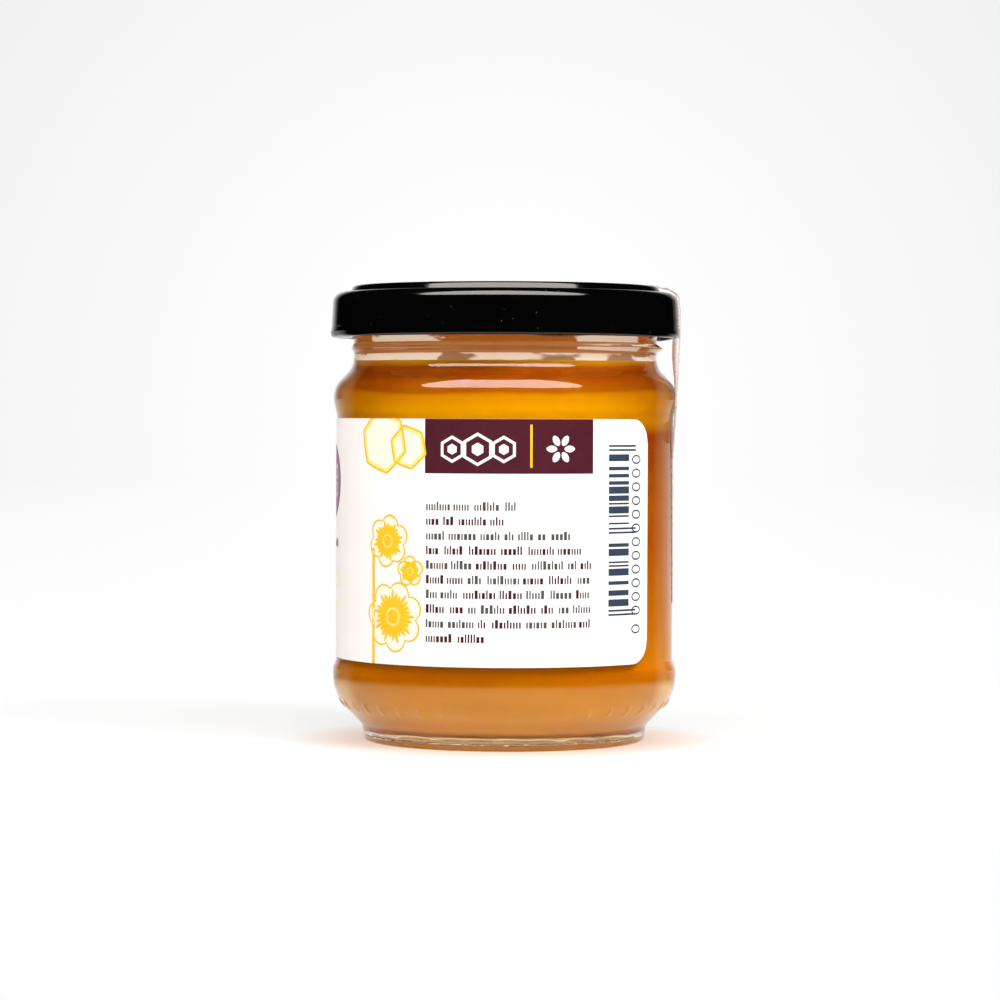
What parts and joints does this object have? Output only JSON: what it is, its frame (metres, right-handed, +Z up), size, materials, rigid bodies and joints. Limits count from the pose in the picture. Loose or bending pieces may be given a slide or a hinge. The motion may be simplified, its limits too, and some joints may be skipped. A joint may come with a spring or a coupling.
{
  "type": "honey jar",
  "caption": "Small clear glass jar of amber honey with a black twist-off metal lid, a white wrap label with rounded corners and a seal strip over the lid.",
  "frame": {"origin": "centre of the foot ring, on the plane that the jar stands on", "axes": "+Z up along the jar's axis; -X through the middle of the label; +X through the seal strip in the label's gap"},
  "size_m": [0.0663, 0.0662, 0.0859],
  "materials": {
    "clear_glass": "clear moulded flint glass, smooth, with small moulded marks at the heel",
    "honey": "amber honey, clear and dark near the top and milky towards the bottom, glossy on its free surface",
    "lid_enamel": "black gloss enamel on pressed steel",
    "label_paper": "white coated paper printed with a plum band, yellow outline cells and grey and plum text-like bars",
    "seal_film": "thin whitish translucent strip, lightly creased over the lid's ring"
  },
  "bodies": {
    "root": {"glass_jar": "clear_glass", "honey": "honey", "lid": "lid_enamel", "label": "label_paper", "seal_strip": "seal_film"}
  },
  "joints": []
}
